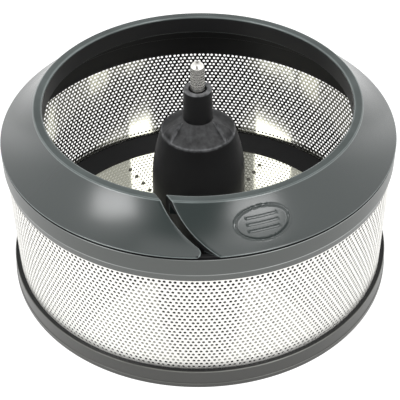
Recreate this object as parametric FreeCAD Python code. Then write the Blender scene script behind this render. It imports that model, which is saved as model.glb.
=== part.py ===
import FreeCAD, Part
import math
import os

# Filter basket of a centrifugal juicer: a perforated drum held between two moulded rings, a polished
# grating floor, a bell-shaped drive hub with a bearing pin, and a split snap collar round the mouth.
# Millimetres. Z is the axis, the basket stands on z = 0, and the collar's split faces -Y.

# Perforated drum: one rolled sheet, its fine holes drawn as upright slots of the same open share
drum_radius = 79.65
sheet = 0.4
slot_count = 120
slot_width = 1.2
slot_margin = 0.8

# Bottom ring round the drum's lower edge
ring_overhang = 2.6
ring_wall_height = 8.55
ring_wall = 0.5
ring_draft = 0.2
ring_edge_round = 0.4
bead_height = 2.45
bead_proud = 0.25
gutter_depth = 0.3
seat_depth = 6.25
foot_sheet = 1.0

# Chute: the sloped inside of the bottom ring, from the drum down to the floor
chute_run = 7.8
chute_land = 0.4
chute_rise = 4.8

# Grating floor
floor_sheet = 0.6
floor_grip = 3.0
tooth_rows = 6
tooth_first_angle = 62.0
tooth_outer_radius = 63.8
tooth_pitch = 6.3
tooth_base = 1.6
tooth_tip = 0.5
tooth_height = 0.8
tooth_hub_gap = 4.0

# Upper band round the drum's top edge
open_height = 47.6
band_wall = 0.95
band_edge = 0.25
band_strip = 3.5
band_grip = 5.85
band_head = 5.1
band_skirt_drop = 3.05
band_skirt = 1.95
band_edge_round = 0.4
seat_width = 1.7

# Snap fit between collar and band
shadow_gap = 0.9
snap_clearance = 0.3
snap_wall = 1.4
snap_depth = 5.0
snap_bead = 0.5
snap_bead_height = 1.5
snap_bead_drop = 1.9

# Collar
collar_width = 18.2
collar_rise = 14.0
collar_wall = 2.3
rim_edge = 0.4
rim_land = 0.2
slope_hollow = 0.8
skirt_length = 8.0
skirt_wall = 1.8
lip_round = 1.3
lip_land = 2.1
lip_edge = 0.35

# Split in the collar: the angles of its two edges at the mouth, half way out and at the rim
split_left_edge = (255.2, 263.0, 273.3)
split_right_edge = (259.1, 265.8, 275.0)
split_overrun = 1.5
split_corner = 1.5

# Thumb pad moulded into the collar
pad_angle = 288.2
pad_length = 21.4
pad_width = 13.2
pad_rim = 0.8
pad_rim_height = 0.35
pad_dish = 0.3
grip_count = 3
grip_length = 12.0
grip_width = 0.9
grip_spacing = 2.4

# Drive hub
hub_base_radius = 20.4
hub_radius = 19.9
hub_straight = 38.4
shoulder_radius = 15.3
shoulder_rise = 25.8
shoulder_sag = 1.05
dome_rise = 5.4
dome_run = 5.8
dome_sag = 1.0
hub_flange = 1.6
hub_groove = 1.9
hub_clear = 0.2
flat_ridges = 3
ridge_first_angle = 210.0
ridge_apex = 1.2
ridge_half_angle = 23.0
neck_base_radius = 6.2
neck_top_radius = 5.75
neck_height = 13.9
neck_recess = 1.3
neck_recess_gap = 0.85

# Hollow under the hub: a wide bore for the bowl's chimney, then a keyed socket for the drive shaft
chimney_radius = 15.5
chimney_depth = 45.8
socket_radius = 7.0
socket_depth = 14.0
key_count = 3
key_width = 2.5
key_depth = 1.5

# Bearing pin: a thinner shank pressed into the neck, and a journal that stands clear of the recess
pin_radius = 2.95
shank_radius = 2.4
shank_clear = 0.4
pin_grip = 13.4
pin_free = 10.7
pin_point = 1.35

# Radii and heights that follow from the sizes above
drum_in = drum_radius - sheet / 2
drum_out = drum_radius + sheet / 2
ring_radius = drum_out + ring_overhang
floor_bottom = foot_sheet
floor_top = floor_bottom + floor_sheet
floor_radius = drum_in - chute_run
chute_top = floor_top + chute_land + chute_rise
gutter_floor = ring_wall_height - gutter_depth
drum_bottom = gutter_floor - seat_depth
mesh_top = ring_wall_height + open_height
drum_top = mesh_top + band_grip
band_radius = drum_out + band_wall
band_bore = drum_in - band_skirt
band_top = drum_top + band_head
collar_seat = band_top + shadow_gap
collar_radius = band_radius
mouth_radius = collar_radius - collar_width
lip_top = collar_seat + collar_rise
hub_bottom = hub_clear
shoulder_start = floor_top + hub_straight
rim_of_flats = shoulder_start + shoulder_rise
neck_base = rim_of_flats + dome_rise + dome_sag / 2
neck_top = neck_base + neck_height
groove_radius = hub_base_radius - hub_groove
snap_outer = band_bore - snap_clearance
recess_floor = neck_top - neck_recess
shank_bottom = recess_floor - pin_grip
quarter_sag = 1 - math.sqrt(0.5)
axis_point = FreeCAD.Vector(0, 0, 0)
up = FreeCAD.Vector(0, 0, 1)


def point(r, z):
    """A point of a section, at radius r and height z in the XZ plane."""
    return FreeCAD.Vector(r, 0, z)


def polar(radius, angle, z=0.0):
    """A point at a radius and an angle in degrees round the axis."""
    turn = math.radians(angle)
    return FreeCAD.Vector(radius * math.cos(turn), radius * math.sin(turn), z)


def bowed(start, end, sag):
    """Middle of an arc from start to end that bows out by sag, to the left of the way it runs."""
    chord = end - start
    left = FreeCAD.Vector(-chord.z, 0, chord.x).normalize()
    return (start + end) / 2 + left * sag


def section(*stops):
    """A closed face through points; a pair (sag, point) is an arc that bows by sag on its way there."""
    edges = []
    here = stops[0]
    for stop in stops[1:] + (stops[0],):
        if isinstance(stop, tuple):
            sag, there = stop
            edges.append(Part.Arc(here, bowed(here, there, sag), there).toShape())
        else:
            there = stop
            edges.append(Part.LineSegment(here, there).toShape())
        here = there
    return Part.Face(Part.Wire(edges))


def turned(*stops):
    """A solid of revolution about the axis, from its section."""
    return section(*stops).revolve(axis_point, up, 360)


def cylinder(radius, bottom, top):
    """A cylinder about the axis, between two heights."""
    return Part.makeCylinder(radius, top - bottom, FreeCAD.Vector(0, 0, bottom))


def block(inner, outer, width, bottom, top, angle):
    """A box that runs outwards from the axis at an angle, between two radii and two heights."""
    box = Part.makeBox(outer - inner, width, top - bottom, FreeCAD.Vector(inner, -width / 2, bottom))
    box.rotate(axis_point, up, angle)
    return box


def make_mesh_drum():
    """A plain rolled sheet with its slots cut between the two rings."""
    drum = cylinder(drum_out, drum_bottom, drum_top).cut(cylinder(drum_in, drum_bottom, drum_top))
    slots = []
    for index in range(slot_count):
        angle = 360.0 * (index + 0.5) / slot_count
        slots.append(block(drum_in - sheet, drum_out + sheet, slot_width,
                           ring_wall_height + slot_margin, mesh_top - slot_margin, angle))
    return drum.cut(slots)


def make_bottom_ring():
    """Foot, beaded outer wall, gutter, seat for the sheet, chute, and the groove that grips the floor."""
    face_radius = ring_radius - bead_proud
    top_radius = face_radius - ring_draft
    wall_in = top_radius - ring_wall
    grip_radius = floor_radius + floor_grip
    return turned(
        point(floor_radius, 0),
        point(face_radius, 0),
        point(ring_radius, bead_proud),
        point(ring_radius, bead_height - bead_proud),
        point(face_radius, bead_height),
        point(top_radius, ring_wall_height - ring_edge_round),
        (-ring_edge_round * quarter_sag, point(top_radius - ring_edge_round, ring_wall_height)),
        point(wall_in, ring_wall_height),
        point(wall_in, gutter_floor),
        point(drum_out, gutter_floor),
        point(drum_out, drum_bottom),
        point(drum_in, drum_bottom),
        point(drum_in, chute_top),
        point(floor_radius, floor_top + chute_land),
        point(floor_radius, floor_top),
        point(grip_radius, floor_top),
        point(grip_radius, floor_bottom),
        point(floor_radius, floor_bottom),
    )


def make_tooth(radius, angle):
    """A grating tooth: a square pyramid with a blunt tip, edge on to the way the basket spins."""
    wires = []
    for size, height in ((tooth_base, floor_top), (tooth_tip, floor_top + tooth_height)):
        corners = [polar(size / math.sqrt(2), quarter * 90.0, height) for quarter in range(4)]
        wires.append(Part.makePolygon(corners + corners[:1]))
    tooth = Part.makeLoft(wires, True, True)
    tooth.translate(FreeCAD.Vector(radius, 0, 0))
    tooth.rotate(axis_point, up, angle)
    return tooth


def make_floor_disc():
    """A thin disc with rows of teeth that run in from its edge towards the hub."""
    disc = cylinder(floor_radius + floor_grip, floor_bottom, floor_top)
    disc = disc.cut(cylinder(groove_radius, floor_bottom, floor_top))
    reach = tooth_outer_radius - hub_base_radius - tooth_hub_gap
    teeth = []
    for row in range(tooth_rows):
        for step in range(int(reach / tooth_pitch) + 1):
            angle = tooth_first_angle + 360.0 * row / tooth_rows
            teeth.append(make_tooth(tooth_outer_radius - step * tooth_pitch, angle))
    return disc.multiFuse(teeth).removeSplitter()


def make_upper_band():
    """Two legs that take the sheet between them, a plain face, and a snap groove inside."""
    shadow_radius = band_radius - band_wall
    groove_top = collar_seat - snap_bead_drop + snap_clearance
    groove_bottom = groove_top - snap_bead_height - 2 * snap_clearance
    groove_in = band_bore + snap_bead
    seat_in = shadow_radius - seat_width
    lead_in = seat_in - band_bore
    return turned(
        point(drum_out, mesh_top),
        point(drum_out + band_edge, mesh_top),
        point(band_radius, mesh_top + band_strip),
        point(band_radius, band_top - band_edge_round),
        (-band_edge_round * quarter_sag, point(band_radius - band_edge_round, band_top)),
        point(shadow_radius, band_top),
        point(shadow_radius, collar_seat),
        point(seat_in, collar_seat),
        point(band_bore, collar_seat - lead_in),
        point(band_bore, groove_top),
        point(groove_in, groove_top - snap_bead),
        point(groove_in, groove_bottom + snap_bead),
        point(band_bore, groove_bottom),
        point(band_bore, mesh_top - band_skirt_drop + band_edge_round),
        point(band_bore + band_edge_round, mesh_top - band_skirt_drop),
        point(drum_in, mesh_top - band_skirt_drop),
        point(drum_in, drum_top),
        point(drum_out, drum_top),
    )


def slope_ends():
    """Top and foot of the collar's hollow slope, between the lip and the rim."""
    top = point(mouth_radius + lip_round + lip_land + lip_edge, lip_top - lip_edge)
    foot = point(collar_radius - rim_edge, collar_seat + rim_land + rim_edge)
    return top, foot


def slope_frame():
    """Middle of the slope, the way out of the surface there, and the radius of the hollow."""
    top, foot = slope_ends()
    middle = bowed(foot, top, slope_hollow)
    outwards = ((top + foot) / 2 - middle).normalize()
    half = (top - foot).Length / 2
    return middle, outwards, (half * half + slope_hollow * slope_hollow) / (2 * slope_hollow)


def make_collar_ring():
    """The whole ring, before its split and thumb pad: lip, slope, rim, snap wall and inner skirt."""
    slope_top, slope_foot = slope_ends()
    bead_top = collar_seat - snap_bead_drop
    bead_bottom = bead_top - snap_bead_height
    snap_inner = snap_outer - snap_wall
    snap_bottom = collar_seat - snap_depth
    skirt_bottom = lip_top - skirt_length
    fall = (slope_top.z - slope_foot.z) / (slope_foot.x - slope_top.x)
    under_snap = slope_foot.z + fall * (slope_foot.x - snap_inner) - slope_hollow - collar_wall
    return turned(
        point(mouth_radius, skirt_bottom),
        point(mouth_radius + skirt_wall, skirt_bottom),
        point(mouth_radius + skirt_wall, lip_top - collar_wall),
        point(snap_inner, under_snap),
        point(snap_inner, snap_bottom),
        point(snap_outer - snap_bead, snap_bottom),
        point(snap_outer, snap_bottom + snap_bead),
        point(snap_outer, bead_bottom),
        point(snap_outer + snap_bead, bead_bottom + snap_bead),
        point(snap_outer + snap_bead, bead_top - snap_bead),
        point(snap_outer, bead_top),
        point(snap_outer, collar_seat),
        point(collar_radius, collar_seat),
        point(collar_radius, collar_seat + rim_land),
        slope_foot,
        (slope_hollow, slope_top),
        point(slope_top.x - lip_edge, lip_top),
        point(mouth_radius + lip_round, lip_top),
        (-lip_round * quarter_sag, point(mouth_radius, lip_top - lip_round)),
    )


def make_split():
    """The gap between the collar's ends: two arcs in plan, cut straight down, and the sharp tip rounded."""
    radii = (mouth_radius, mouth_radius + collar_width / 2, collar_radius)
    left = [polar(radius, angle) for radius, angle in zip(radii, split_left_edge)]
    right = [polar(radius, angle) for radius, angle in zip(radii, split_right_edge)]
    left_arc = Part.Arc(*left)
    into_mouth = 1 - split_overrun / mouth_radius
    past_rim = 1 + split_overrun / collar_radius
    outline = [
        Part.LineSegment(left[0] * into_mouth, left[0]),
        left_arc,
        Part.LineSegment(left[2], left[2] * past_rim),
        Part.LineSegment(left[2] * past_rim, right[2] * past_rim),
        Part.LineSegment(right[2] * past_rim, right[2]),
        Part.Arc(*reversed(right)),
        Part.LineSegment(right[0], right[0] * into_mouth),
        Part.LineSegment(right[0] * into_mouth, left[0] * into_mouth),
    ]
    gap = Part.Face(Part.Wire([curve.toShape() for curve in outline]))
    tip = left[2]
    along_gap = left_arc.tangent(left_arc.LastParameter)[0] * -1
    along_rim = tip.cross(up).normalize()
    half_angle = along_gap.getAngle(along_rim) / 2
    inwards = (along_gap + along_rim).normalize()
    centre = tip + inwards * (split_corner / math.sin(half_angle))
    flank = split_corner / math.tan(half_angle)
    kite = [tip + along_gap * flank, tip - inwards * split_overrun, tip + along_rim * flank, centre]
    nose = Part.Face(Part.makePolygon(kite + kite[:1]))
    nose = nose.cut(Part.Face(Part.Wire(Part.makeCircle(split_corner, centre))))
    depth = collar_rise + snap_depth + 2 * split_overrun
    cutter = gap.fuse(nose).removeSplitter().extrude(up * depth)
    cutter.translate(up * (collar_seat - snap_depth - split_overrun))
    return cutter


def slope_layer(inside, outside):
    """A layer along the slope, from a depth under its surface to a height over it."""
    middle, outwards, bow = slope_frame()
    centre = middle + outwards * bow
    along = outwards.cross(FreeCAD.Vector(0, 1, 0))
    reach = pad_width / bow
    edges = []
    ends = []
    for radius in (bow + inside, bow - outside):
        stops = []
        for turn in (-reach, 0, reach):
            stops.append(centre + (along * math.sin(turn) - outwards * math.cos(turn)) * radius)
        edges.append(Part.Arc(*stops).toShape())
        ends.append(stops)
    edges.append(Part.LineSegment(ends[0][0], ends[1][0]).toShape())
    edges.append(Part.LineSegment(ends[0][2], ends[1][2]).toShape())
    return Part.Face(Part.Wire(Part.__sortEdges__(edges))).revolve(axis_point, up, 360)


def on_slope(face):
    """Stand a flat outline, drawn round the origin, on the middle of the collar's slope as a prism."""
    middle, outwards = slope_frame()[:2]
    prism = face.extrude(up * 2 * collar_wall)
    prism.translate(up * -collar_wall)
    prism.Placement = FreeCAD.Placement(middle, FreeCAD.Rotation(up, outwards)).multiply(prism.Placement)
    prism.rotate(axis_point, up, pad_angle)
    return prism


def oval(length, width):
    """A flat oval round the origin, long across the slope."""
    ellipse = Part.Ellipse(FreeCAD.Vector(0, length / 2, 0), FreeCAD.Vector(width / 2, 0, 0), axis_point)
    return Part.Face(Part.Wire(ellipse.toShape()))


def make_collar():
    """The split ring with its thumb pad: a raised oval rim, a dished middle and grip bars across it."""
    collar = make_collar_ring().cut(make_split())
    outline = on_slope(oval(pad_length, pad_width))
    inside = on_slope(oval(pad_length - 2 * pad_rim, pad_width - 2 * pad_rim))
    rim = slope_layer(pad_dish, pad_rim_height).common(outline.cut(inside))
    dish = slope_layer(pad_dish, collar_wall).common(inside)
    collar = collar.cut(dish).fuse(rim)
    grips = []
    for index in range(grip_count):
        offset = (index - (grip_count - 1) / 2) * grip_spacing
        corner = FreeCAD.Vector(offset - grip_width / 2, -grip_length / 2, 0)
        bar = Part.makePlane(grip_width, grip_length, corner)
        grips.append(slope_layer(2 * pad_dish, 0).common(on_slope(bar)))
    return collar.multiFuse(grips).removeSplitter()


def make_ridge(angle):
    """A wedge in plan, its point near the neck, that the sloped flats leave standing."""
    apex = neck_base_radius + ridge_apex
    reach = hub_base_radius + hub_groove
    half_width = (reach - apex) * math.tan(math.radians(ridge_half_angle))
    corners = [point(apex, rim_of_flats), FreeCAD.Vector(reach, -half_width, rim_of_flats),
               FreeCAD.Vector(reach, half_width, rim_of_flats)]
    wedge = Part.Face(Part.makePolygon(corners + corners[:1])).extrude(up * (neck_base - rim_of_flats))
    wedge.rotate(axis_point, up, angle)
    return wedge


def make_hub():
    """Bell with a necked top; three sloped flats leave ridges between them, and the underside is hollow."""
    dome_top = point(shoulder_radius - dome_run, rim_of_flats + dome_rise)
    bell = turned(
        point(0, hub_bottom),
        point(hub_base_radius + hub_flange, hub_bottom),
        point(hub_base_radius + hub_flange, floor_bottom),
        point(groove_radius, floor_bottom),
        point(groove_radius, floor_top),
        point(hub_base_radius, floor_top),
        point(hub_radius, shoulder_start),
        (-shoulder_sag, point(shoulder_radius, rim_of_flats)),
        (-dome_sag, dome_top),
        point(neck_base_radius, neck_base),
        point(neck_top_radius, neck_top),
        point(pin_radius + neck_recess_gap, neck_top),
        point(pin_radius + neck_recess_gap, recess_floor),
        point(0, recess_floor),
    )
    above_flats = turned(
        point(neck_base_radius, neck_base),
        point(shoulder_radius, rim_of_flats),
        point(hub_radius + hub_groove, rim_of_flats),
        point(hub_radius + hub_groove, neck_base),
    )
    for index in range(flat_ridges):
        above_flats = above_flats.cut(make_ridge(ridge_first_angle + 360.0 * index / flat_ridges))
    hollow = cylinder(chimney_radius, hub_bottom, hub_bottom + chimney_depth)
    socket_top = hub_bottom + chimney_depth + socket_depth
    hollow = hollow.fuse(cylinder(socket_radius, hub_bottom, socket_top))
    for index in range(key_count):
        hollow = hollow.fuse(block(0, socket_radius + key_depth, key_width, hub_bottom, socket_top,
                                   360.0 * index / key_count))
    pin_hole = cylinder(shank_radius, shank_bottom, recess_floor)
    return bell.cut(above_flats).cut(hollow).cut(pin_hole)


def make_spindle_pin():
    """A shank pressed into the neck, then a journal with a low turned point."""
    journal_bottom = recess_floor + shank_clear
    journal_top = neck_top + pin_free
    return turned(
        point(0, shank_bottom),
        point(shank_radius, shank_bottom),
        point(shank_radius, journal_bottom),
        point(pin_radius, journal_bottom),
        point(pin_radius, journal_top),
        point(0, journal_top + pin_point),
    )


pieces = {
    "mesh_drum": make_mesh_drum(),
    "bottom_ring": make_bottom_ring(),
    "floor_disc": make_floor_disc(),
    "upper_band": make_upper_band(),
    "collar": make_collar(),
    "hub": make_hub(),
    "spindle_pin": make_spindle_pin(),
}

os.makedirs("parts", exist_ok=True)
for name, shape in pieces.items():
    print(name, "solids", len(shape.Solids), "valid", shape.isValid(), "mm3", round(shape.Volume, 1))
    shape.exportStep("parts/" + name + ".step")
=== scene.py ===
# %% [markdown]
# # The filter basket of a centrifugal juicer
#
# A drum of perforated steel stands between two moulded rings. A polished floor with grating teeth closes
# it below, a black hub in the middle takes the motor's drive, and a glossy split collar clips round the
# mouth. The CAD part already has every piece at its real size and place. This lesson dresses that part:
# it rebuilds each piece with the edges, holes and finishes that the eye expects, and then lights it.
#
# Lengths are millimetres and angles are degrees, counted from +X round the axis. Only the floor, the
# lights and the camera are placed in Blender's metres.

# %% Load the CAD part
import math

import bpy
import numpy as np
from mathutils import Matrix, Vector


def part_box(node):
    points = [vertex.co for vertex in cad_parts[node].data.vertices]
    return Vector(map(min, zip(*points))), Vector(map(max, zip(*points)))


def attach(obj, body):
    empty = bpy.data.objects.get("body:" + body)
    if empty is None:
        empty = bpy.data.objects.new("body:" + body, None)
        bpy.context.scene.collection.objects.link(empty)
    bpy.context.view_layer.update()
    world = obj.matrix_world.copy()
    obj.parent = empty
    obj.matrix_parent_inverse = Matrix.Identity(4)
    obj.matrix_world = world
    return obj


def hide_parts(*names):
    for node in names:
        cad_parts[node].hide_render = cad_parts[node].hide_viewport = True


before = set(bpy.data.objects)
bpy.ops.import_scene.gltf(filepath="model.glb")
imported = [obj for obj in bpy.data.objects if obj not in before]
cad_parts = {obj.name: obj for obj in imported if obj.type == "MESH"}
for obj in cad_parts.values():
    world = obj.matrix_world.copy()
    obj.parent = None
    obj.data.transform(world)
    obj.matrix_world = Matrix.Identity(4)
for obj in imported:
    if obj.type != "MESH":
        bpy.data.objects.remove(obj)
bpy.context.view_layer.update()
MM = 0.001


def cad_size(node):
    """Outer radius, bottom and top of a CAD piece, in millimetres."""
    low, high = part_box(node)
    return high[0] / MM, low[2] / MM, high[2] / MM


drum_out, drum_bottom, drum_top = cad_size("mesh_drum")
ring_out, ring_bottom, ring_top = cad_size("bottom_ring")
floor_out, floor_bottom, floor_teeth_top = cad_size("floor_disc")
band_out, band_bottom, band_top = cad_size("upper_band")
collar_out, _, collar_top = cad_size("collar")
hub_out, hub_bottom, hub_top = cad_size("hub")
pin_out, pin_bottom, pin_top = cad_size("spindle_pin")
print("CAD pieces:", ", ".join(sorted(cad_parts)))

# %% [markdown]
# ## Tools for shapes
#
# Nearly every piece here is turned about one axis, so an outline of radius and height is the natural way
# to draw it. Real mouldings have no knife edges: each corner of an outline carries a small round, which
# catches a line of light. A bevel modifier could do that, but rounding the outline before it is turned
# gives clean rows of faces. Weighted normals then keep the large faces flat beside the small rounds.

# %% Round and bow an outline
def soften(stops, steps=5):
    """A closed outline of (radius, height, round), with each corner cut back by its round and bowed.

    Each point that comes back is (radius, height, corner): corner is 1 in the middle of an outer round."""
    points = []
    for index, (r, z, cut) in enumerate(stops):
        corner = np.array((r, z))
        if not cut:
            points.append((r, z, 0.0))
            continue
        before = np.array(stops[index - 1][:2]) - corner
        after = np.array(stops[(index + 1) % len(stops)][:2]) - corner
        outer = float(before[1] * after[0] - before[0] * after[1] > 0)
        start = corner + before * cut / np.linalg.norm(before)
        end = corner + after * cut / np.linalg.norm(after)
        for t in np.linspace(0, 1, steps + 1):
            bowed = (1 - t) ** 2 * start + 2 * t * (1 - t) * corner + t * t * end
            points.append((*bowed, outer * 4 * t * (1 - t)))
    return np.array(points)


def bow(start, end, sag, steps):
    """Inner points of an arc from start to end that bows to the right of its way by sag."""
    start, end = np.array(start), np.array(end)
    chord = end - start
    right = np.array((chord[1], -chord[0])) / np.linalg.norm(chord)
    along = np.linspace(0, 1, steps + 1)[1:-1]
    arc = [start + chord * t + right * sag * 4 * t * (1 - t) for t in along]
    return [(r, z, 0) for r, z in arc]


washer = soften([(4, 0, 1), (9, 0, 1), (9, 3, 1), (4, 3, 1)])
print("a washer with four rounded corners takes", len(washer), "points")


# %% Turn an outline
def turn(outline, columns=360):
    """Points (x, y, z, corner) and faces of a closed outline turned about the axis.

    A point that lies on the axis stays single."""
    points, rings, faces = [], [], []
    angles = np.arange(columns) * 2 * math.pi / columns
    for r, z, corner in outline:
        start = len(points)
        if r == 0:
            points.append((0, 0, z, corner))
            rings.append([start] * columns)
        else:
            points.extend((r * math.cos(a), r * math.sin(a), z, corner) for a in angles)
            rings.append(list(range(start, start + columns)))
    for here, there in zip(rings, rings[1:] + rings[:1]):
        for c in range(columns):
            d = (c + 1) % columns
            face = list(dict.fromkeys((here[c], here[d], there[d], there[c])))
            if len(face) > 2:
                faces.append(face)
    return np.array(points), faces


print("turned, that washer has", len(turn(washer)[1]), "faces")


# %% Make a piece
def make_piece(name, points, faces, node, slot, *finishes, smooth_under=32.0):
    """A smooth-shaded piece, drawn in millimetres, that stands for a CAD piece and rides with the basket.

    The fourth number of each point goes to an attribute, for a finish's wear and painted highlight on
    corners."""
    points = np.asarray(points)
    mesh = bpy.data.meshes.new(name)
    mesh.from_pydata((points[:, :3] * MM).tolist(), [], faces)
    mesh.attributes.new("corner", "FLOAT", "POINT").data.foreach_set("value", points[:, 3])
    mesh.shade_smooth()
    mesh.set_sharp_from_angle(angle=math.radians(smooth_under))
    for finish in finishes:
        mesh.materials.append(finish)
    piece = bpy.data.objects.new(name, mesh)
    bpy.context.collection.objects.link(piece)
    weighted = piece.modifiers.new("flat faces stay flat", "WEIGHTED_NORMAL")
    weighted.keep_sharp = True
    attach(piece, "root")
    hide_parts(node)
    print(name, len(points), "points,", len(faces), "faces")
    return piece


# %% [markdown]
# ## Tools for finishes
#
# Colours are written as the sRGB hex values that a picture editor shows, and one function turns them to
# the linear values that shaders add and multiply. A second function adds a node, sets its sockets and
# links it, so that each finish below reads as a short list of steps. A third starts each finish from the
# Principled shader, with its plain values set straight on the sockets.

# %% Colours and nodes
def linear(hex_colour):
    """A linear RGBA colour from an sRGB hex value such as #8a9096."""
    channels = [int(hex_colour[i:i + 2], 16) / 255 for i in (1, 3, 5)]
    return [c / 12.92 if c <= 0.04045 else ((c + 0.055) / 1.055) ** 2.4 for c in channels] + [1.0]


def add_node(material, kind, links=(), props=(), **sockets):
    """Add a node to a material: props are its own settings, sockets take values, links take outputs."""
    node = material.node_tree.nodes.new(kind)
    for key, value in dict(props).items():
        setattr(node, key, value)
    for key, value in sockets.items():
        node.inputs[key.replace("_", " ")].default_value = value
    for key, output in dict(links).items():
        material.node_tree.links.new(output, node.inputs[key])
    return node


def start_finish(name, **sockets):
    """A new material with its Principled shader, whose plain sockets are set at once."""
    material = bpy.data.materials.new(name)
    material.use_nodes = True
    shader = material.node_tree.nodes["Principled BSDF"]
    for key, value in sockets.items():
        shader.inputs[key.replace("_", " ")].default_value = value
    return material, shader


print("sRGB mid grey #808080 is", round(linear("#808080")[0], 3), "in linear light")

# %% [markdown]
# ## The perforated drum
#
# The real drum is thin stainless sheet, punched with round holes in staggered rows and rolled into a
# hoop. The holes are what the eye reads first: grey dots on bright steel outside, points of light inside.
# A picture of holes would go flat at the edges, and a boolean cut for each would be slow and ragged. So
# every hole sits in its own six-sided cell, drawn with the hole already in it, and the cells share edges.

# %% [markdown]
# The sheet is bright-rolled stainless steel. Rolling leaves fine lines round the hoop, which blur its
# mirror a little along the height and leave it sharper round the drum. It is a metal, so its colour is
# the colour of its reflection, and its IOR stays as it is. Outside, the steel looks white and soft. Inside
# it is the same steel with a darker colour, painted shade for the dark inside of the basket, and it is
# closer to a mirror, so that the lamps show there as patches among the holes.

# %% Bright-rolled stainless steel
def blur_upright(metal, shader, amount):
    """Stretch a metal's reflections up and down, as fine lines round an upright wall do.

    The Tangent socket only counts when it is linked, so a fixed vector goes in through a node."""
    upright = add_node(metal, "ShaderNodeCombineXYZ", Z=1.0)
    metal.node_tree.links.new(upright.outputs["Vector"], shader.inputs["Tangent"])
    shader.inputs["Anisotropic"].default_value = amount


def rolled_stainless(name, colour, low, high):
    """Stainless sheet whose roughness runs from low to high in lines round the hoop.

    The lines are 0.6 mm apart, drawn coarser than life so that they show, and fifty times as long."""
    steel, shader = start_finish(name, Base_Color=linear(colour), Metallic=1.0)
    place = add_node(steel, "ShaderNodeTexCoord")
    lines = add_node(steel, "ShaderNodeMapping", {"Vector": place.outputs["Object"]},
                     Scale=(0.02, 0.02, 1.0))
    streaks = add_node(steel, "ShaderNodeTexNoise", {"Vector": lines.outputs["Vector"]},
                       Scale=1 / (0.6 * MM), Detail=2.0)
    rough = add_node(steel, "ShaderNodeMapRange", {"Value": streaks.outputs["Fac"]}, To_Min=low, To_Max=high)
    steel.node_tree.links.new(rough.outputs["Result"], shader.inputs["Roughness"])
    blur_upright(steel, shader, 0.8)
    return steel


bright_steel = rolled_stainless("bright-rolled stainless, outside", "#efeeea", 0.3, 0.45)
# The inside copy is the same steel with a darker colour: painted shade for the dark inside of the basket.
shaded_inner_steel = rolled_stainless("bright-rolled stainless, inside, painted darker for shade", "#a0a09b", 0.06, 0.13)
print("drum finishes:", bright_steel.name, "and", shaded_inner_steel.name)

# %% Sizes of the perforation
sheet = 0.3  # 0.1 less than in CAD, so that enough light comes through the holes
hole_columns = 250
hole_rows = 28
row_step = 1.75
top_row = 54.9
hole_radius = 0.6
hole_sides = 12
hole_wander = 0.1  # punched holes stand a little to the left and right of an even lattice
sectors = 3  # the drum is drawn in parts, because one mesh would hold too many faces
drum_mid = drum_out - sheet / 2
column_step = 2 * math.pi * drum_mid / hole_columns
print("holes:", hole_columns * hole_rows, "spaced", round(column_step, 2), "mm apart round the drum")


# %% Draw the sheet cell by cell
def screen_sector(first, last):
    """Points, normals, faces and finish numbers of the sheet between two columns of holes.

    A cell's border has six edge middles and six corners in turn, one for each corner of the hole."""
    turns = np.arange(hole_sides)
    steps = np.radians(turns * 360.0 / hole_sides)
    reach = np.where(turns % 2 == 0, 0.5, 0.5 / math.cos(math.radians(30))) * column_step
    squash = row_step / (column_step * math.sqrt(0.75))
    hex_s, hex_z = reach * np.cos(steps), reach * np.sin(steps) * squash
    hole_s, hole_z = hole_radius * np.cos(steps), hole_radius * np.sin(steps)
    points, normals, faces, finishes, known = [], [], [], [], {}

    def put(s, z, side, facing=None):
        radius = drum_mid + side * sheet / 2
        key = (round(s, 3), round(z, 3), side, facing)
        if key not in known:
            known[key] = len(points)
            angle = s / drum_mid
            outward = Vector((math.cos(angle), math.sin(angle), 0))
            around = Vector((-math.sin(angle), math.cos(angle), 0))
            points.append((radius * outward.x, radius * outward.y, z, 0.0))
            if facing is None:
                normals.append(outward * side)
            else:
                normals.append(-around * math.cos(facing) - Vector((0, 0, math.sin(facing))))
        return known[key]

    def both_sides(corners):
        for side, order in ((1, corners), (-1, corners[::-1])):
            faces.append([put(s, z, side) for s, z in order])
            # The inner face takes the darker steel, which is painted shade.
            finishes.append(0 if side == 1 else 1)

    for row in range(hole_rows):
        z = top_row - row_step * row
        for column in range(first, last):
            s = (column + (row % 2) / 2) * column_step
            wander = hole_wander * (-1) ** (column - row // 2)
            for k in range(hole_sides):
                j = (k + 1) % hole_sides
                rim = [(s + wander + hole_s[n], z + hole_z[n]) for n in (k, j)]
                edge = [(s + hex_s[n], z + hex_z[n]) for n in (k, j)]
                both_sides([rim[0], edge[0], edge[1], rim[1]])
                faces.append([put(*rim[0], 1, steps[k]), put(*rim[1], 1, steps[j]),
                              put(*rim[1], -1, steps[j]), put(*rim[0], -1, steps[k])])
                finishes.append(0)
            # The first and the last row also get a plain border, up to the edge of the sheet.
            if row in (0, hole_rows - 1):
                border = range(1, 5) if row == 0 else range(7, 11)
                level = drum_top if row == 0 else drum_bottom
                for k in border:
                    a, b = ((s + hex_s[n], z + hex_z[n]) for n in (k, k + 1))
                    both_sides([a, (a[0], level), (b[0], level), b])
    return np.array(points), normals, faces, finishes


print("one column of the sheet takes", len(screen_sector(0, 1)[2]), "faces")


# %% Make the drum in sectors
def make_screen(name, first, last, *metals):
    """One sector of the drum, with normals that follow the rolled sheet and the walls of its holes.

    These normals take the place of the weighted ones, so that modifier goes."""
    points, normals, faces, finishes = screen_sector(first, last)
    piece = make_piece(name, points, faces, "mesh_drum", "mesh_steel", *metals)
    piece.modifiers.clear()
    piece.data.polygons.foreach_set("material_index", finishes)
    piece.data.normals_split_custom_set_from_vertices(normals)
    return piece


splits = [round(hole_columns * k / sectors) for k in range(sectors + 1)]
for k in range(sectors):
    make_screen("screen_" + str(k + 1), splits[k], splits[k + 1], bright_steel, shaded_inner_steel)
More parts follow.
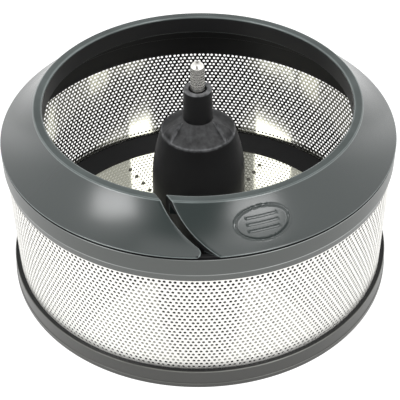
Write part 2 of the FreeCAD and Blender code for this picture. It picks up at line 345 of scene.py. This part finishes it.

# %% [markdown]
# ## The bottom ring
#
# A moulded ring grips the drum's lower edge. Outside it is a low wall with a bead at its foot; between
# wall and drum runs a narrow gutter, and inside a chute slopes down to the floor; gutter and chute are
# painted black as shade. Each of these could be a ring of its own, but the real one is a single moulding,
# so one outline is turned for all of it.

# %% [markdown]
# Both rings are moulded ABS with a fine spark-eroded grain: it scatters light softly, so the rings look
# satin and a little paler than the collar. Handling scuffs the corners first, so their colour goes paler in
# patches; on the band that paler colour is also a painted highlight along its rounds. The faces inside
# the basket are the same plastic painted black, as the deep shade that lies there.

# %% Satin moulded ABS
def grained_plastic(name, colour, rubbed_and_lit, low, high, grain, scuff, **sockets):
    """Moulded plastic with a fine grain and corners tinted paler, for scuffs and for painted highlight.

    The grain, in mm, is drawn coarser than life so that it shows. The scuff, also in mm, is the size of
    the patches in which wear and sheen change."""
    plastic, shader = start_finish(name, **sockets)
    place = add_node(plastic, "ShaderNodeTexCoord")
    grains = add_node(plastic, "ShaderNodeTexNoise", {"Vector": place.outputs["Object"]},
                      Scale=1 / (grain * MM), Detail=3.0)
    cloud = add_node(plastic, "ShaderNodeTexNoise", {"Vector": place.outputs["Object"]},
                     Scale=1 / (scuff * MM), Detail=2.0)
    patches = add_node(plastic, "ShaderNodeMapRange", {"Value": cloud.outputs["Fac"]},
                       From_Min=0.15, From_Max=0.85)
    rough = add_node(plastic, "ShaderNodeMapRange", {"Value": cloud.outputs["Fac"]}, To_Min=low, To_Max=high)
    corner = add_node(plastic, "ShaderNodeAttribute", props={"attribute_name": "corner"})
    # The pale colour on the corners stands for wear and, on the band and the hub, also for painted highlight.
    wear_and_sheen = add_node(plastic, "ShaderNodeMath", {0: corner.outputs["Fac"], 1: patches.outputs["Result"]},
                    {"operation": "MULTIPLY"})
    tint = add_node(plastic, "ShaderNodeMix", {"Factor": wear_and_sheen.outputs["Value"]}, {"data_type": "RGBA"})
    # Sockets 6 and 7 of a colour mix are its two colours, and output 2 is the mixed one.
    tint.inputs[6].default_value = linear(colour)
    tint.inputs[7].default_value = linear(rubbed_and_lit)
    relief = add_node(plastic, "ShaderNodeBump", {"Height": grains.outputs["Fac"]}, Strength=0.08,
                      Distance=0.05 * MM)
    plastic.node_tree.links.new(tint.outputs[2], shader.inputs["Base Color"])
    plastic.node_tree.links.new(rough.outputs["Result"], shader.inputs["Roughness"])
    plastic.node_tree.links.new(relief.outputs["Normal"], shader.inputs["Normal"])
    return plastic


ring_abs = grained_plastic("satin moulded ABS, dark grey", "#2b2b28", "#7a7b76", 0.30, 0.40,
                           grain=0.35, scuff=30.0, IOR=1.52)
# Its pale corner colour is also a painted highlight along the band's rounds.
band_abs = grained_plastic("satin moulded ABS, grey", "#3d403e", "#a4a8a6", 0.30, 0.40,
                           grain=0.35, scuff=30.0, IOR=1.52)
# The black finish is painted shade: it goes on faces inside the basket, in gaps and on cut ends, where deep
# shade lies.
shade_black_abs = grained_plastic("satin moulded ABS, painted black for shade", "#121213", "#2c2d2e", 0.36, 0.48,
                            grain=0.35, scuff=30.0, IOR=1.4)
print("ring finishes:", ring_abs.name + ",", band_abs.name, "and", shade_black_abs.name)

# %% Outline of the bottom ring
bead_proud, bead_height = 0.25, 2.45
wall, wall_draft, wall_round = 0.7, 0.2, 0.05
gutter_depth = 0.3
sheet_slot = 0.4
chute_run, chute_land, chute_rise = 7.8, 0.4, 4.8
floor_sheet = 0.6
ring_face = ring_out - bead_proud
wall_in = ring_face - wall
gutter_floor = ring_top - gutter_depth
drum_in = drum_out - sheet_slot
floor_top = floor_bottom + floor_sheet
chute_foot = drum_in - chute_run
chute_top = floor_top + chute_land + chute_rise
ring_outline = soften([
    (chute_foot, ring_bottom, 0.3), (ring_face, ring_bottom, 0.1), (ring_out, bead_proud, 0.1),
    (ring_out, bead_height - bead_proud, 0.15), (ring_face, bead_height, 0.1),
    (ring_face - wall_draft, ring_top, 0.4), (wall_in, ring_top, wall_round), (wall_in, gutter_floor, 0),
    (drum_out, gutter_floor, 0), (drum_out, drum_bottom, 0), (drum_in, drum_bottom, 0),
    (drum_in, chute_top, 0.12), (chute_foot, floor_top + chute_land, 0.15), (chute_foot, floor_top, 0),
    (floor_out, floor_top, 0), (floor_out, floor_bottom, 0), (chute_foot, floor_bottom, 0),
])
print("bottom ring outline:", len(ring_outline), "points")


# %% Turn the bottom ring
def finish_faces(piece, number, chosen):
    """Give one of a piece's finishes to the faces whose middle (radius and height in mm) is chosen."""
    for face in piece.data.polygons:
        middle = face.center / MM
        if chosen(math.hypot(middle.x, middle.y), middle.z):
            face.material_index = number


hair = 0.01  # so that a face that lies on a limit counts as inside it
bottom_ring = make_piece("bottom_ring_moulded", *turn(ring_outline), "bottom_ring", "ring_plastic",
                         ring_abs, shade_black_abs)
# The chute and the gutter take the black finish: painted shade.
finish_faces(bottom_ring, 1,
             lambda r, z: r < drum_in + hair or (r < wall_in + wall_round and z > chute_top))

# %% [markdown]
# ## The grating floor
#
# The floor is a bright disc with rows of punched teeth that shred what falls on them. Each tooth is a
# small blunt pyramid pushed up out of the sheet, and its torn sides show from a step away. A bump map
# would vanish at this distance, so the teeth are real forms that stand on a turned disc.

# %% [markdown]
# The floor is polished stainless, close to a mirror: it shows the drum's lattice upside down. Hair-fine
# polishing marks run round it and soften that picture a little. They are drawn 2 mm apart, coarser than
# life, so that they show.

# %% Polished stainless steel
WAVE_REPEAT = 0.314  # a wave texture of scale 1 repeats each 0.314 units
polished, shader = start_finish("polished stainless", Base_Color=linear("#cfcfc5"), Metallic=1.0)
place = add_node(polished, "ShaderNodeTexCoord")
marks = add_node(polished, "ShaderNodeTexWave", {"Vector": place.outputs["Object"]},
                 {"wave_type": "RINGS", "rings_direction": "Z"}, Scale=WAVE_REPEAT / (2 * MM),
                 Distortion=2.0, Detail=2.0)
rough = add_node(polished, "ShaderNodeMapRange", {"Value": marks.outputs["Fac"]}, To_Min=0.02, To_Max=0.06)
polished.node_tree.links.new(rough.outputs["Result"], shader.inputs["Roughness"])
print("floor finish:", polished.name)

# %% [markdown]
# Piercing tears the steel, so the sides of the teeth are rough and lie in their own shade. That shade is
# painted into their colour, a darker steel, so the eye gets small dark dots on a bright floor. The torn
# grain is about 0.4 mm across.

# %% Pierced stainless steel, painted dark for shade
# The darker colour is painted shade for the shaded sides of the teeth.
shaded_tooth_steel, shader = start_finish("pierced stainless, painted dark for shade", Base_Color=linear("#8c8a83"),
                               Metallic=1.0)
place = add_node(shaded_tooth_steel, "ShaderNodeTexCoord")
burrs = add_node(shaded_tooth_steel, "ShaderNodeTexNoise", {"Vector": place.outputs["Object"]},
                 Scale=1 / (0.4 * MM), Detail=2.0)
rough = add_node(shaded_tooth_steel, "ShaderNodeMapRange", {"Value": burrs.outputs["Fac"]}, To_Min=0.5, To_Max=0.7)
shaded_tooth_steel.node_tree.links.new(rough.outputs["Result"], shader.inputs["Roughness"])
print("tooth finish:", shaded_tooth_steel.name)

# %% Turn the disc
hub_flange, hub_groove = 1.6, 1.9
hub_base = hub_out - hub_flange
bore = hub_base - hub_groove
disc_outline = soften([(bore, floor_bottom, 0), (floor_out, floor_bottom, 0), (floor_out, floor_top, 0),
                       (bore, floor_top, 0)])
make_piece("floor_polished", *turn(disc_outline), "floor_disc", "floor_steel", polished)

# %% Punch the teeth
tooth_angles = [62.0 + 60.0 * k for k in range(6)]
tooth_radii = [63.8 - 6.3 * k for k in range(7)]
tooth_sides = 8
tooth_levels = ((1.15, floor_top), (0.95, floor_top + 0.4), (0.36, floor_teeth_top))
flat_share = 0.78  # how near the middles of a tooth's sides come, against its corners
tooth_points, tooth_faces = [], []
for angle in tooth_angles:
    turn_z = Matrix.Rotation(math.radians(angle), 3, "Z")
    for radius in tooth_radii:
        start = len(tooth_points)
        for size, z in tooth_levels:
            for k in range(tooth_sides):
                a = math.radians(k * 360.0 / tooth_sides)
                reach = size * (1.0 if k % 2 == 0 else flat_share)
                spot = turn_z @ Vector((radius + reach * math.cos(a), reach * math.sin(a), z))
                tooth_points.append((*spot, 0.0))
        for low in (start, start + tooth_sides):
            for k in range(tooth_sides):
                j = (k + 1) % tooth_sides
                tooth_faces.append([low + k, low + j, low + tooth_sides + j, low + tooth_sides + k])
        tooth_faces.append([start + 2 * tooth_sides + k for k in range(tooth_sides)])
make_piece("grating_teeth", tooth_points, tooth_faces, "floor_disc", "floor_steel", shaded_tooth_steel)

# %% [markdown]
# ## The upper band
#
# The band grips the drum's top edge. Outside it flares a little and then runs straight up to a shadow
# gap under the collar; inside it hangs as a skirt that hides the raw edge of the sheet. The skirt and
# the faces of the shadow gap are painted black as shade. A groove in the skirt holds the collar's snap
# bead. It is one moulding as well, so one outline is turned.

# %% Turn the upper band
open_height = 47.6
band_edge, band_strip, band_skirt = 0.25, 3.5, 1.95
shadow_gap, shadow_round = 0.9, 0.05
lead_in = 0.75
groove_depth, groove_top, groove_bottom = 0.5, band_top - 1.6, band_top - 3.7
mesh_top = ring_top + open_height
band_bore = drum_in - band_skirt
band_shoulder = band_top - shadow_gap
band_outline = soften([
    (drum_out, mesh_top, 0), (drum_out + band_edge, mesh_top, 0.08), (band_out, mesh_top + band_strip, 0.3),
    (band_out, band_shoulder, 0.35), (drum_out, band_shoulder, 0), (drum_out, band_top, 0),
    (band_bore + lead_in, band_top, 0), (band_bore, band_top - lead_in, 0), (band_bore, groove_top, 0),
    (band_bore + groove_depth, groove_top - groove_depth, 0),
    (band_bore + groove_depth, groove_bottom + groove_depth, 0), (band_bore, groove_bottom, 0),
    (band_bore, band_bottom, 0.4), (drum_in, band_bottom, 0), (drum_in, drum_top, 0), (drum_out, drum_top, 0),
])
upper_band = make_piece("upper_band_moulded", *turn(band_outline), "upper_band", "ring_plastic",
                        band_abs, shade_black_abs)
# The inner skirt and the faces of the shadow gap take the black finish: painted shade.
finish_faces(upper_band, 1, lambda r, z: r < drum_in + hair or z > band_shoulder - shadow_round)

# %% [markdown]
# ## The split collar
#
# The collar is a springy ring with one slanted split, so that it can open over the band. Its hollow slope
# carries an oval thumb pad. Turning gives the ring, but the split leans and the pad stands proud, so the
# outline is swept by hand: every row of points runs from one edge of the split right round to the other,
# and the pad is pushed out of the surface along its normal. A small round leads into both cut ends.

# %% [markdown]
# The collar is the same plastic from a polished mould, so it shines: a sharp coat of reflection over a
# dark blue-grey body. A real moulding is never quite flat: slow waves of about 9 mm bend the highlights,
# and haze in patches of about 22 mm dulls them. Its rounds are rubbed paler, and the paler tint along the
# foot, the split and the lip is also a painted highlight. Inside it is painted black as shade.

# %% Gloss moulded ABS
gloss_abs, shader = start_finish("gloss moulded ABS, blue-grey", IOR=1.6)
place = add_node(gloss_abs, "ShaderNodeTexCoord")
waves = add_node(gloss_abs, "ShaderNodeTexNoise", {"Vector": place.outputs["Object"]},
                 Scale=1 / (9 * MM), Detail=1.0)
haze = add_node(gloss_abs, "ShaderNodeTexNoise", {"Vector": place.outputs["Object"]},
                Scale=1 / (22 * MM), Detail=3.0)
rough = add_node(gloss_abs, "ShaderNodeMapRange", {"Value": haze.outputs["Fac"]}, To_Min=0.18, To_Max=0.28)
corner = add_node(gloss_abs, "ShaderNodeAttribute", props={"attribute_name": "corner"})
wear_and_sheen = add_node(gloss_abs, "ShaderNodeMath", {0: corner.outputs["Fac"], 1: haze.outputs["Fac"]},
                {"operation": "MULTIPLY"})
# The paler tint on the rounds is rubbing, and also a painted highlight along the foot, the split and the lip.
tint = add_node(gloss_abs, "ShaderNodeMix", {"Factor": wear_and_sheen.outputs["Value"]}, {"data_type": "RGBA"})
tint.inputs[6].default_value = linear("#262d2c")
tint.inputs[7].default_value = linear("#7b8483")
relief = add_node(gloss_abs, "ShaderNodeBump", {"Height": waves.outputs["Fac"]}, Strength=0.05,
                  Distance=0.2 * MM)
gloss_abs.node_tree.links.new(tint.outputs[2], shader.inputs["Base Color"])
gloss_abs.node_tree.links.new(rough.outputs["Result"], shader.inputs["Roughness"])
gloss_abs.node_tree.links.new(relief.outputs["Normal"], shader.inputs["Normal"])
print("collar finish:", gloss_abs.name)

# %% Outline of the collar
collar_width = 18.2
lip_width, lip_edge, lip_break, lip_round = 3.75, 0.35, 0.45, 1.0
rim_edge, rim_land, rim_height = 0.4, 0.3, 0.6
slope_hollow = 0.8
skirt_length, skirt_wall, roof = 8.0, 1.8, 2.3
snap_clearance, snap_wall, snap_depth, snap_root = 0.3, 1.4, 5.0, 2.0
snap_bead, bead_start, crest_start, crest_end, bead_end = 0.5, 3.6, 3.0, 2.4, 1.9
collar_seat = band_top
mouth = collar_out - collar_width
skirt_bottom = collar_top - skirt_length
snap_out = band_bore - snap_clearance
snap_in = snap_out - snap_wall
snap_bottom = collar_seat - snap_depth
slope_top = np.array((mouth + lip_width, collar_top - lip_edge))
slope_foot = np.array((collar_out - rim_edge, collar_seat + rim_height))
slope_rows = bow(slope_foot, slope_top, -slope_hollow, 64)
collar_outline = soften([
    (mouth, skirt_bottom, 0.3), (mouth + skirt_wall, skirt_bottom, 0.3),
    (mouth + skirt_wall, collar_top - roof, 0.5), (snap_in, collar_seat + snap_root, 0.5),
    (snap_in, snap_bottom, 0.3), (snap_out - 0.3, snap_bottom, 0.2), (snap_out, collar_seat - bead_start, 0),
    (snap_out + snap_bead, collar_seat - crest_start, 0.2),
    (snap_out + snap_bead, collar_seat - crest_end, 0.2), (snap_out, collar_seat - bead_end, 0),
    (snap_out, collar_seat, 0.1), (collar_out, collar_seat, 0.08),
    (collar_out, collar_seat + rim_land, 0.25), (*slope_foot, 0), *slope_rows, (*slope_top, 0.3),
    (slope_top[0] - lip_break, collar_top, 0.35), (mouth, collar_top, lip_round),
])
lip_sheen = 0.4  # the flat of the lip is tinted paler as well: a painted highlight where it faces the light
on_lip = collar_outline[:, 1] > collar_top - 0.02
collar_outline[on_lip, 2] = np.maximum(collar_outline[on_lip, 2], lip_sheen)
print("collar outline:", len(collar_outline), "points")

# %% Edges of the split
split_radii = (mouth, mouth + collar_width / 2, collar_out)
left_curve = np.polyfit(split_radii, (255.2, 263.0, 273.3), 2)
right_curve = np.polyfit(split_radii, (259.1, 265.8, 275.0), 2)
tip_round = 1.5


def left_edge(r):
    """Angle of the split's left edge at a radius, with its sharp tip at the rim rounded off."""
    slope = math.radians(np.polyval(np.polyder(left_curve), collar_out)) * collar_out
    lean = math.atan2(1, slope)
    centre = collar_out - tip_round
    back = tip_round / math.tan(lean / 2)
    if r < centre - tip_round * math.cos(lean):
        return np.polyval(left_curve, r)
    bulge = math.sqrt(max(tip_round ** 2 - (r - centre) ** 2, 0))
    return np.polyval(left_curve, collar_out) + math.degrees((bulge - back) / collar_out)


def right_edge(r):
    """Angle of the split's right edge at a radius."""
    return np.polyval(right_curve, r)


print("the split is", round(right_edge(mouth) - left_edge(mouth), 1), "degrees wide at the mouth")

# %% Height of the thumb pad
pad_angle, pad_long, pad_wide = 288.2, 21.4, 13.2
pad_rim, pad_rim_height, pad_dish = 0.8, 0.35, 0.3
grip_length, grip_width, grip_spacing = 12.0, 0.9, 2.4


def smooth_step(low, high, value):
    """0 below low, 1 above high, and an even ramp between them."""
    t = np.clip((value - low) / (high - low), 0, 1)
    return t * t * (3 - 2 * t)


def pad_height(across, down):
    """How far the thumb pad lifts the slope, at distances round the rim and down the slope.

    A raised rim runs round a dish, and three grips fill the dish up again. Each edge is a ramp about half
    a millimetre wide, as a mould would leave it."""
    a, b = pad_long / 2, pad_wide / 2
    e = math.hypot(across / a, down / b)
    if e < 0.05 or e > 1.5:
        inside = -1.0 if e < 0.05 else 1.0
        distance = inside * b
    else:
        distance = (e - 1) * e / math.hypot(across / a ** 2, down / b ** 2)
    rim = pad_rim_height * smooth_step(-pad_rim - 0.15, -pad_rim + 0.3, distance)
    rim *= 1 - smooth_step(-0.3, 0.15, distance)
    dish = -pad_dish * (1 - smooth_step(-pad_rim - 0.5, -pad_rim - 0.05, distance))
    nearest = min(abs(down - k * grip_spacing) for k in (-1, 0, 1))
    grip = 1 - smooth_step(grip_width / 2 - 0.25, grip_width / 2 + 0.2, nearest)
    grip *= 1 - smooth_step(grip_length / 2 - 0.3, grip_length / 2 + 0.2, abs(across))
    return rim + dish + pad_dish * grip


print("the pad's dish lies", round(float(-pad_height(0, grip_spacing / 2)), 2), "mm below the slope")

# %% Directions along the outline
steps_before = np.roll(collar_outline[:, :2], 1, axis=0)
steps_after = np.roll(collar_outline[:, :2], -1, axis=0)
along = steps_after - steps_before
along /= np.linalg.norm(along, axis=1)[:, None]
outline_normals = np.stack([along[:, 1], -along[:, 0]], axis=1)
slope_middle = (slope_top + slope_foot) / 2
slope_way = (slope_top - slope_foot) / np.linalg.norm(slope_top - slope_foot)
first_slope = int(np.argmin(np.linalg.norm(collar_outline[:, :2] - slope_foot, axis=1)))
last_slope = int(np.argmin(np.linalg.norm(collar_outline[:, :2] - slope_top, axis=1)))
print("the slope takes rows", first_slope, "to", last_slope)

# %% Stations round the ring
end_round = 0.45
coarse = np.linspace(0, 1, 361)
fine = np.linspace(0.026, 0.098, 150)  # the share of the way round that the pad takes
shares = np.concatenate([coarse[coarse < fine[0]], fine, coarse[coarse > fine[-1]]])
quarter = np.radians(np.linspace(90, 0, 5))
# The rounds into the cut ends get the paler tint too: a painted highlight along the split's edges, with wear.
ends = [(end_round * (1 - math.sin(q)), end_round * (1 - math.cos(q)), math.sin(2 * q)) for q in quarter[:-1]]
stations = [("right", *end) for end in ends]
stations += [("ring", share, 0.0, 0.0) for share in shares]
stations += [("left", *end) for end in reversed(ends)]
print("stations from edge to edge:", len(stations))


# %% Points of the collar
def station_angle(where, place, r):
    """Angle of a station at a radius: in the round of a cut end, or a share of the way between the ends."""
    left, right = left_edge(r), right_edge(r)
    if where == "right":
        return right + math.degrees(place / r)
    if where == "left":
        return left - math.degrees(place / r)
    margin = math.degrees(end_round / r)
    return right + margin + place * (left + 360 - 2 * margin - right)


pad_reach = 12.0  # degrees to each side of the pad's middle that it may lift
collar_points = []
for where, place, inset, rubbed_and_lit in stations:
    for index, (r, z, corner) in enumerate(collar_outline):
        angle = station_angle(where, place, r)
        lift = -inset
        if first_slope <= index <= last_slope and abs((angle - pad_angle + 180) % 360 - 180) < pad_reach:
            across = r * math.sin(math.radians(angle - pad_angle))
            lift += pad_height(across, float(np.dot((r, z) - slope_middle, -slope_way)))
        r, z = (r, z) + outline_normals[index] * lift
        turned = math.radians(angle)
        collar_points.append((r * math.cos(turned), r * math.sin(turned), z, max(corner, rubbed_and_lit)))
print("collar points:", len(collar_points))

# %% Faces of the collar
rows = len(collar_outline)
last = (len(stations) - 1) * rows
collar_faces = []
for here in range(0, last, rows):
    there = here + rows
    for k in range(rows):
        j = (k + 1) % rows
        collar_faces.append([here + k, there + k, there + j, here + j])
collar_faces.append(list(range(rows)))
collar_faces.append([last + k for k in reversed(range(rows))])
collar = make_piece("split_collar", collar_points, collar_faces, "collar", "collar_plastic",
                    gloss_abs, shade_black_abs)
# Faces below the seat, the inner wall of the mouth and both cut ends take the black finish: painted shade.
inner_top = collar_top - lip_round - 0.3
finish_faces(collar, 1, lambda r, z: z < collar_seat - hair or r < mouth + 2 * hair and z < inner_top)
for cap in collar.data.polygons[-2:]:
    cap.material_index = 1

# %% [markdown]
# ## The drive hub
#
# The hub is a black bell. Its shoulder is cut back by three sloped flats with ridges left between them,
# and a plain neck carries the pin. Underneath it is hollow: a wide bore, then a keyed socket. Sculpting or
# boolean cuts could make the flats. Here the bell is turned, and the height of its shoulder changes with
# the angle, which leaves the ridges standing and keeps the rows of faces.

# %% [markdown]
# The hub is moulded polypropylene, a waxy black plastic with a low, broad sheen. Its ridges and the rims of
# its flats are rubbed grey in small patches of about 2 mm. The same grey, in the same patches, is painted on
# the flats as the sheen of light from above and on the rims as glints; the top of its neck is painted grey
# as well.

# %% Satin polypropylene
black_pp = grained_plastic("satin polypropylene, black", "#09090a", "#7e7f81", 0.34, 0.5,
                           grain=0.6, scuff=2.2, IOR=1.4)
print("hub finish:", black_pp.name)

# %% Outline of the hub
waist, waist_z, waist_sag = hub_base - 0.5, 40.0, 1.05
flat_rim, flat_rim_z = 15.3, 65.8
dome_top, dome_sag = (9.5, 71.2), 1.0
neck_base, neck_base_z, neck_top = 6.2, 71.7, 5.75
recess, recess_floor, shank = 3.8, hub_top - 1.3, 2.4
chimney, chimney_top = 15.5, 46.0
socket, socket_top = 7.0, 60.0
dome = [(flat_rim, flat_rim_z), *[p[:2] for p in bow((flat_rim, flat_rim_z), dome_top, dome_sag, 20)],
        dome_top, (neck_base, neck_base_z)]
dome_r, dome_z = zip(*reversed(dome))
shoulder = np.linspace(flat_rim, neck_base, 36)
hub_outline = np.concatenate([
    soften([
        (chimney, hub_bottom, 0.3), (hub_out, hub_bottom, 0.2), (hub_out, floor_bottom, 0.1),
        (bore, floor_bottom, 0), (bore, floor_top, 0), (hub_base, floor_top, 0.15), (waist, waist_z, 0),
        *bow((waist, waist_z), (flat_rim, flat_rim_z), waist_sag, 24),
    ]),
    np.stack([shoulder, np.interp(shoulder, dome_r, dome_z), 0 * shoulder], axis=1),
    soften([
        (neck_base, neck_base_z + 0.1, 0), (neck_top + 0.02, hub_top - 0.6, 0), (neck_top, hub_top, 0.35),
        (recess, hub_top, 0.2), (recess, recess_floor, 0.1), (shank, recess_floor, 0), (shank, pin_bottom, 0),
        (0, pin_bottom, 0), (0, socket_top, 0), (socket, socket_top, 0), (socket, chimney_top, 0),
        (chimney, chimney_top, 0),
    ]),
])
hub_points, hub_faces = turn(hub_outline, 600)
print("hub outline:", len(hub_outline), "points")

# %% Flats, ridges, their wear and painted sheen
ridge_angles = (90.0, 210.0, 330.0)
ridge_apex, ridge_spread, ridge_soft = neck_base + 1.2, 23.0, 0.25
ridge_wear, rim_wear_and_glint, flat_sheen = 0.6, 0.8, 0.25
neck_top_grey, neck_top_grey_depth = 0.9, 0.4


def off_marks(angle, marks):
    """Least angle between a direction and any of some marks, 90 degrees at most."""
    return min(90.0, *(abs((angle - mark + 180) % 360 - 180) for mark in marks))


for point in hub_points:
    r, angle = math.hypot(point[0], point[1]), math.degrees(math.atan2(point[1], point[0]))
    if neck_base < r <= flat_rim + 0.001 and flat_rim_z - 0.001 < point[2] < neck_base_z + hair:
        flat = np.interp(r, (neck_base, flat_rim), (neck_base_z, flat_rim_z))
        half_width = (r - ridge_apex) * math.tan(math.radians(ridge_spread))
        sideways = r * math.sin(math.radians(off_marks(angle, ridge_angles)))
        on_ridge = 1 - smooth_step(half_width - ridge_soft, half_width + ridge_soft, sideways)
        point[2] = flat + on_ridge * (point[2] - flat)
        # Rubbed grey on the ridges, rubbed grey and a painted glint at the rim, and a painted sheen over the
        # flats.
        point[3] = max(1 - abs(sideways - half_width) / ridge_wear, 1 - (flat_rim - r) / rim_wear_and_glint, flat_sheen)
    # The top of the neck is painted grey.
    if point[2] > hub_top - neck_top_grey_depth:
        point[3] = neck_top_grey
print("ridges stand at", ridge_angles, "degrees")

# %% Keyways of the socket
key_angles = (0.0, 120.0, 240.0)
key_depth, key_width = 1.5, 2.5
for point in hub_points:
    r, angle = math.hypot(point[0], point[1]), math.degrees(math.atan2(point[1], point[0]))
    sideways = socket * math.sin(math.radians(off_marks(angle, key_angles)))
    if abs(r - socket) < hair and sideways < key_width / 2:
        point[:2] *= (socket + key_depth) / socket
make_piece("drive_hub", hub_points, hub_faces, "hub", "hub_plastic", black_pp)

# %% [markdown]
# ## The bearing pin
#
# A steel pin stands in the neck and runs in a bearing in the lid. Its end is a rounded point that finds the
# bearing by itself. The real one is turned on a lathe, and so is this one.

# %% [markdown]
# A lathe tool leaves fine rings round the steel. They blur the mirror along the pin and break its light
# into short bands. The rings are drawn 1.2 mm apart, coarser than life, so that they show.

# %% Turned steel
turned_steel, shader = start_finish("turned steel", Base_Color=linear("#d2d0cb"), Metallic=1.0)
place = add_node(turned_steel, "ShaderNodeTexCoord")
tool_marks = add_node(turned_steel, "ShaderNodeTexWave", {"Vector": place.outputs["Object"]},
                      {"bands_direction": "Z"}, Scale=WAVE_REPEAT / (1.2 * MM), Distortion=0.3, Detail=0.0)
rough = add_node(turned_steel, "ShaderNodeMapRange", {"Value": tool_marks.outputs["Fac"]},
                 To_Min=0.18, To_Max=0.3)
relief = add_node(turned_steel, "ShaderNodeBump", {"Height": tool_marks.outputs["Fac"]}, Strength=0.1,
                  Distance=0.05 * MM)
turned_steel.node_tree.links.new(rough.outputs["Result"], shader.inputs["Roughness"])
turned_steel.node_tree.links.new(relief.outputs["Normal"], shader.inputs["Normal"])
blur_upright(turned_steel, shader, 0.6)
print("pin finish:", turned_steel.name)

# %% Turn the pin
shank_clear = 0.4
nose_rise, nose_length, nose_sag = 0.7, 2.6, 0.3  # the nose ends a little above the CAD pin
journal_bottom = recess_floor + shank_clear
nose_top = pin_top + nose_rise
nose_foot = nose_top - nose_length
nose_tip = (0.8, nose_top - 0.25)
pin_outline = soften([
    (0, pin_bottom, 0), (shank, pin_bottom, 0), (shank, journal_bottom, 0), (pin_out, journal_bottom, 0.1),
    (pin_out, nose_foot, 0), *bow((pin_out, nose_foot), nose_tip, nose_sag, 8), (*nose_tip, 0.2),
    (0, nose_top, 0),
])
make_piece("bearing_pin", *turn(pin_outline, 96), "spindle_pin", "pin_steel", turned_steel)

# %% [markdown]
# ## The floor of the studio
#
# The basket stands on a seamless white floor, as in a catalogue picture. It is matt painted board that
# glows a little: its grey and its glow add up to clean white, and only a faint shadow stays on it.

# %% White floor
floor_half = 6.0
floor_white = start_finish("matt white board", Base_Color=linear("#8c8c8c"), Roughness=0.8,
                           Emission_Color=linear("#ffffff"), Emission_Strength=0.92)[0]
floor_corners = [(-floor_half, -floor_half, 0), (floor_half, -floor_half, 0),
                 (floor_half, floor_half, 0), (-floor_half, floor_half, 0)]
floor_mesh = bpy.data.meshes.new("studio_floor")
floor_mesh.from_pydata(floor_corners, [], [(0, 1, 2, 3)])
floor_mesh.materials.append(floor_white)
studio_floor = bpy.data.objects.new("studio_floor", floor_mesh)
bpy.context.collection.objects.link(studio_floor)
print("floor:", 2 * floor_half, "m wide")

# %% [markdown]
# ## Light
#
# The collar is a mirror of the studio: its highlights tell where the lamps stood. Two softboxes stand left
# and right of the camera, and two weaker ones hang higher. Each is an area light, whose strength is given
# as the brightness that a mirror would show, so that its size can change without changing that.

# %% Softboxes
def softbox(name, direction, width, height, radiance):
    """A soft area light, in metres, that looks at the basket from a direction, one metre away."""
    lamp = bpy.data.lights.new(name, "AREA")
    lamp.shape, lamp.size, lamp.size_y = "RECTANGLE", width, height
    lamp.energy = radiance * math.pi * width * height
    box = bpy.data.objects.new(name, lamp)
    bpy.context.collection.objects.link(box)
    way = Vector(direction).normalized()
    box.location = way + Vector((0, 0, 0.05))
    box.rotation_euler = way.to_track_quat("Z", "Y").to_euler()


softbox("left softbox", (-0.67, -0.49, 0.56), 0.38, 0.28, 8.0)
softbox("right softbox", (0.45, -0.65, 0.62), 0.40, 0.28, 7.0)
softbox("high right softbox", (0.34, -0.49, 0.80), 0.46, 0.14, 2.2)
softbox("high front softbox", (0.0, -0.34, 0.94), 0.80, 0.46, 1.6)

# %% [markdown]
# The room adds the soft rest of the light. It is bright along the horizon, has white walls at both sides
# and a dimmer one behind, and is dark overhead and in front. Walls could be modelled, but a world whose
# brightness changes with direction does the same and never gets in the camera's way.

# %% Room
world = bpy.data.worlds.new("room")
world.use_nodes = True
bpy.context.scene.world = world
soft = {"interpolation_type": "SMOOTHSTEP"}
larger = {"operation": "MAXIMUM"}
sky = add_node(world, "ShaderNodeTexCoord")
way = add_node(world, "ShaderNodeSeparateXYZ", {"Vector": sky.outputs["Generated"]})
horizon = add_node(world, "ShaderNodeMapRange", {"Value": way.outputs["Z"]}, soft,
                   From_Min=0.1, From_Max=0.55, To_Min=2.0, To_Max=0.12)
aside = add_node(world, "ShaderNodeMath", {0: way.outputs["X"]}, {"operation": "ABSOLUTE"})
walls = add_node(world, "ShaderNodeMapRange", {"Value": aside.outputs["Value"]}, soft,
                 From_Min=0.25, From_Max=0.6, To_Min=0.0, To_Max=1.5)
backdrop = add_node(world, "ShaderNodeMapRange", {"Value": way.outputs["Y"]}, soft,
                    From_Min=0.1, From_Max=0.4, To_Min=0.0, To_Max=0.5)
around = add_node(world, "ShaderNodeMath",
                  {0: walls.outputs["Result"], 1: backdrop.outputs["Result"]}, larger)
glow = add_node(world, "ShaderNodeMath",
                {0: horizon.outputs["Result"], 1: around.outputs["Value"]}, larger)
background = world.node_tree.nodes["Background"]
background.inputs["Color"].default_value = linear("#ffffff")
world.node_tree.links.new(glow.outputs["Value"], background.inputs["Strength"])
bpy.context.scene.view_settings.view_transform = "Standard"
print("room:", len(world.node_tree.nodes), "nodes")

# %% [markdown]
# ## Camera
#
# The camera stands in front and looks down at about 40 degrees. Its lens, place and small roll were fitted
# to the circles of the mouth, the band and the foot, so that the render lies over the photograph.

# %% Camera
camera_data = bpy.data.cameras.new("camera")
camera_data.sensor_width = 36.0
camera_data.lens = 93.42
camera = bpy.data.objects.new("camera", camera_data)
bpy.context.collection.objects.link(camera)
camera_place = (0.0003, -0.3472, 0.3193)
roll = math.radians(-0.824)
forward, level, rise = Vector((0, 0.765, -0.644)), Vector((1, 0, 0)), Vector((0, 0.644, 0.765))
camera_right = math.cos(roll) * level + math.sin(roll) * rise
camera_up = -math.sin(roll) * level + math.cos(roll) * rise
axes = Matrix((camera_right, camera_up, -forward)).transposed()
camera.matrix_world = Matrix.Translation(camera_place) @ axes.to_4x4()
bpy.context.scene.camera = camera
print("camera:", camera_data.lens, "mm lens")
